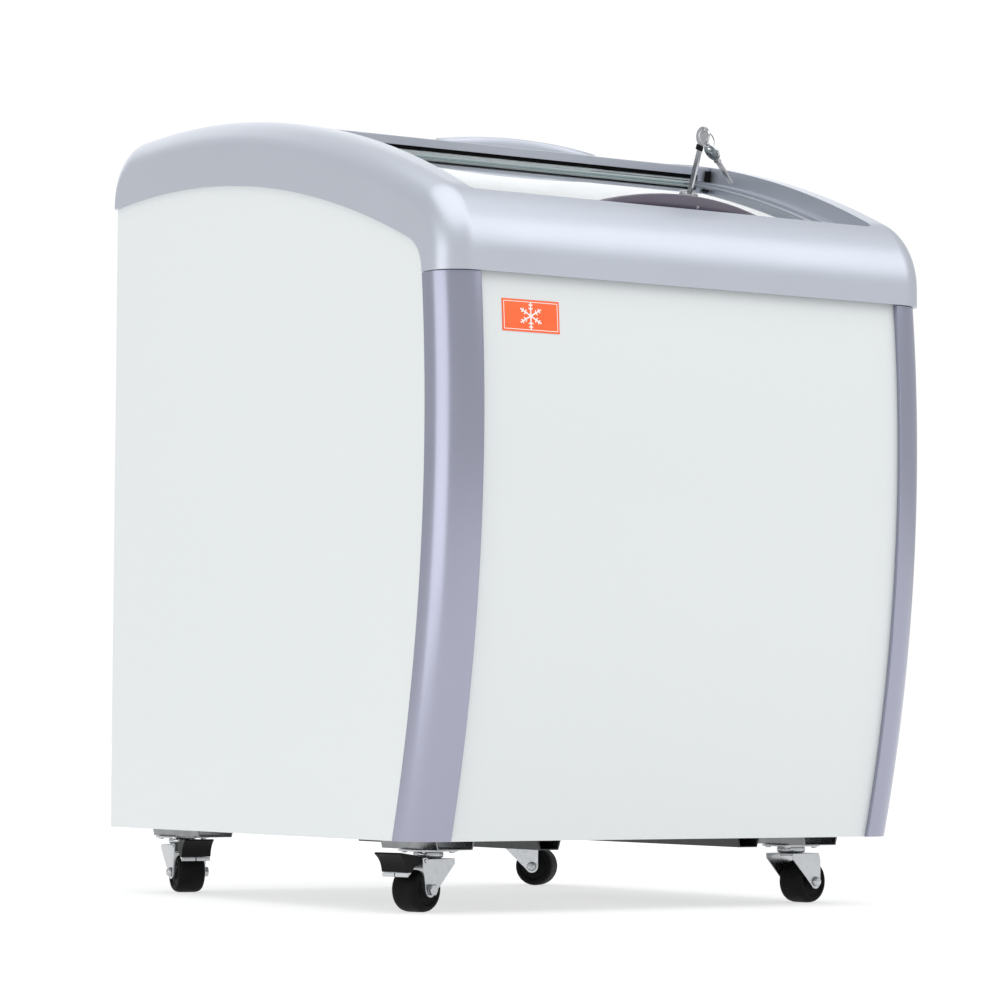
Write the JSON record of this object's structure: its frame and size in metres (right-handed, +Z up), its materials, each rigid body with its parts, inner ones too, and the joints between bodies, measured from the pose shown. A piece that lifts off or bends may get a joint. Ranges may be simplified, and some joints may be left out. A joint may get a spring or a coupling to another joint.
{
  "type": "chest freezer",
  "caption": "Low display chest freezer with a bowed front, an arched plastic top, curved sliding glass lids with a key lock, and swivel casters.",
  "frame": {"origin": "on the floor, below the middle of the cabinet's width and depth", "axes": "+Z up, -Y is the bowed front where the customer stands, +X to the right seen from the front"},
  "size_m": [0.58, 0.7088, 0.8215],
  "materials": {
    "white_steel": "gloss powder coat",
    "silver_plastic": "satin moulded, silver-grey",
    "dark_plastic": "satin moulded",
    "black_plastic": "satin moulded",
    "black_rubber": "matte",
    "glass": "clear, faint blue-green edge",
    "liner_metal": "pale embossed sheet",
    "zinc": "bright zinc plate",
    "chrome": "polished",
    "galvanised": "galvanised sheet",
    "foam": "polyurethane foam, out of sight",
    "copper": "bare tube, out of sight",
    "black_paint": "black paint",
    "fin_metal": "plain",
    "orange_film": "thin printed film with a plain snow crystal"
  },
  "bodies": {
    "cabinet": {"top_frame": "silver_plastic", "side_panel_left": "white_steel", "side_panel_right": "white_steel", "corner_pillar_left": "silver_plastic", "corner_pillar_right": "silver_plastic", "front_panel": "white_steel", "front_label": "orange_film", "back_panel": "white_steel", "rear_grille": "galvanised", "base_pan": "galvanised", "inner_liner": "liner_metal", "foam_insulation": "foam", "evaporator_tube": "copper", "skid_left": "black_paint", "skid_right": "black_paint", "compressor_tray": "black_paint", "compressor": "black_paint", "condenser": "fin_metal", "fan_shroud": "black_paint", "fan_motor": "black_paint", "mains_lead_inlet": "black_plastic", "front_left_bracket": "zinc", "front_left_caster_plate": "zinc", "front_right_bracket": "zinc", "front_right_caster_plate": "zinc", "back_left_bracket": "zinc", "back_left_caster_plate": "zinc", "back_right_bracket": "zinc", "back_right_caster_plate": "zinc"},
    "front_lid": {"front_lid_frame": "silver_plastic", "front_lid_glass": "glass", "front_lid_handle": "dark_plastic", "lock_barrel": "chrome"},
    "rear_lid": {"rear_lid_frame": "silver_plastic", "rear_lid_glass": "glass", "rear_lid_seal": "black_rubber", "rear_lid_handle": "silver_plastic"},
    "lock": {"lock_core": "chrome"},
    "key": {"key": "chrome"},
    "key_ring": {"key_ring": "chrome"},
    "spare_key": {"spare_key": "chrome"},
    "thermostat_dial": {"thermostat_dial": "black_plastic"},
    "fan": {"fan_blade": "fin_metal"},
    "drain_plug": {"drain_plug": "black_rubber"},
    "front_left_swivel": {"front_left_fork": "zinc", "front_left_axle_bolt": "zinc"},
    "front_left_wheel": {"front_left_wheel": "black_rubber"},
    "front_left_brake": {"front_left_brake_pedal": "black_plastic"},
    "front_right_swivel": {"front_right_fork": "zinc", "front_right_axle_bolt": "zinc"},
    "front_right_wheel": {"front_right_wheel": "black_rubber"},
    "back_left_swivel": {"back_left_fork": "zinc", "back_left_axle_bolt": "zinc"},
    "back_left_wheel": {"back_left_wheel": "black_rubber"},
    "back_left_brake": {"back_left_brake_pedal": "black_plastic"},
    "back_right_swivel": {"back_right_fork": "zinc", "back_right_axle_bolt": "zinc"},
    "back_right_wheel": {"back_right_wheel": "black_rubber"}
  },
  "joints": [
    {"name": "front_lid_slide", "type": "hinge", "parent": "cabinet", "child": "front_lid", "pos_m": [0, 0.25, -0.5165], "axis": [-1, 0, 0], "range_deg": [0, 10.5]},
    {"name": "rear_lid_slide", "type": "hinge", "parent": "cabinet", "child": "rear_lid", "pos_m": [0, 0.25, -0.5165], "axis": [-1, 0, 0], "range_deg": [-10.5, 0]},
    {"name": "lock_turn", "type": "hinge", "parent": "front_lid", "child": "lock", "pos_m": [0.036, -0.28377, 0.71696], "axis": [0, -0.3971, 0.9178], "range_deg": [-90, 0]},
    {"name": "key_pull", "type": "slide", "parent": "lock", "child": "key", "axis": [0, -0.3971, 0.9178], "range_m": [0, 0.024]},
    {"name": "key_ring_swing", "type": "hinge", "parent": "key", "child": "key_ring", "pos_m": [0.036, -0.3093, 0.77597], "axis": [0.9962, 0.08, 0.0346], "range_deg": [-10, 6]},
    {"name": "spare_key_swing", "type": "hinge", "parent": "key_ring", "child": "spare_key", "pos_m": [0.03717, -0.31625, 0.75833], "axis": [0, 1, 0], "range_deg": [0, 38]},
    {"name": "front_left_swivel", "type": "hinge", "parent": "cabinet", "child": "front_left_swivel", "pos_m": [-0.22, -0.208, 0.055], "axis": [0, 0, 1], "continuous": true},
    {"name": "front_left_wheel_spin", "type": "hinge", "parent": "front_left_swivel", "child": "front_left_wheel", "pos_m": [-0.23702, -0.21386, 0.022], "axis": [0.3256, -0.9455, 0], "continuous": true},
    {"name": "front_left_brake_press", "type": "hinge", "parent": "front_left_swivel", "child": "front_left_brake", "pos_m": [-0.24458, -0.21646, 0.05], "axis": [0.3256, -0.9455, 0], "range_deg": [0, 24]},
    {"name": "front_right_swivel", "type": "hinge", "parent": "cabinet", "child": "front_right_swivel", "pos_m": [0.22, -0.208, 0.055], "axis": [0, 0, 1], "continuous": true},
    {"name": "front_right_wheel_spin", "type": "hinge", "parent": "front_right_swivel", "child": "front_right_wheel", "pos_m": [0.23754, -0.20395, 0.022], "axis": [-0.225, 0.9744, 0], "continuous": true},
    {"name": "back_left_swivel", "type": "hinge", "parent": "cabinet", "child": "back_left_swivel", "pos_m": [-0.22, 0.309, 0.055], "axis": [0, 0, 1], "continuous": true},
    {"name": "back_left_wheel_spin", "type": "hinge", "parent": "back_left_swivel", "child": "back_left_wheel", "pos_m": [-0.22325, 0.2913, 0.022], "axis": [0.9836, -0.1805, 0], "continuous": true},
    {"name": "back_left_brake_press", "type": "hinge", "parent": "back_left_swivel", "child": "back_left_brake", "pos_m": [-0.22469, 0.28343, 0.05], "axis": [0.9836, -0.1805, 0], "range_deg": [0, 24]},
    {"name": "back_right_swivel", "type": "hinge", "parent": "cabinet", "child": "back_right_swivel", "pos_m": [0.22, 0.309, 0.055], "axis": [0, 0, 1], "continuous": true},
    {"name": "back_right_wheel_spin", "type": "hinge", "parent": "back_right_swivel", "child": "back_right_wheel", "pos_m": [0.2315, 0.29515, 0.022], "axis": [0.7694, 0.6388, 0], "continuous": true},
    {"name": "thermostat_turn", "type": "hinge", "parent": "cabinet", "child": "thermostat_dial", "pos_m": [0, 0.345, 0.15], "axis": [0, 1, 0], "range_deg": [0, 300]},
    {"name": "fan_spin", "type": "hinge", "parent": "cabinet", "child": "fan", "pos_m": [0.12, 0.225, 0.18], "axis": [1, 0, 0], "continuous": true},
    {"name": "drain_plug_lift", "type": "slide", "parent": "cabinet", "child": "drain_plug", "axis": [0, 0, 1], "range_m": [0, 0.05]}
  ]
}
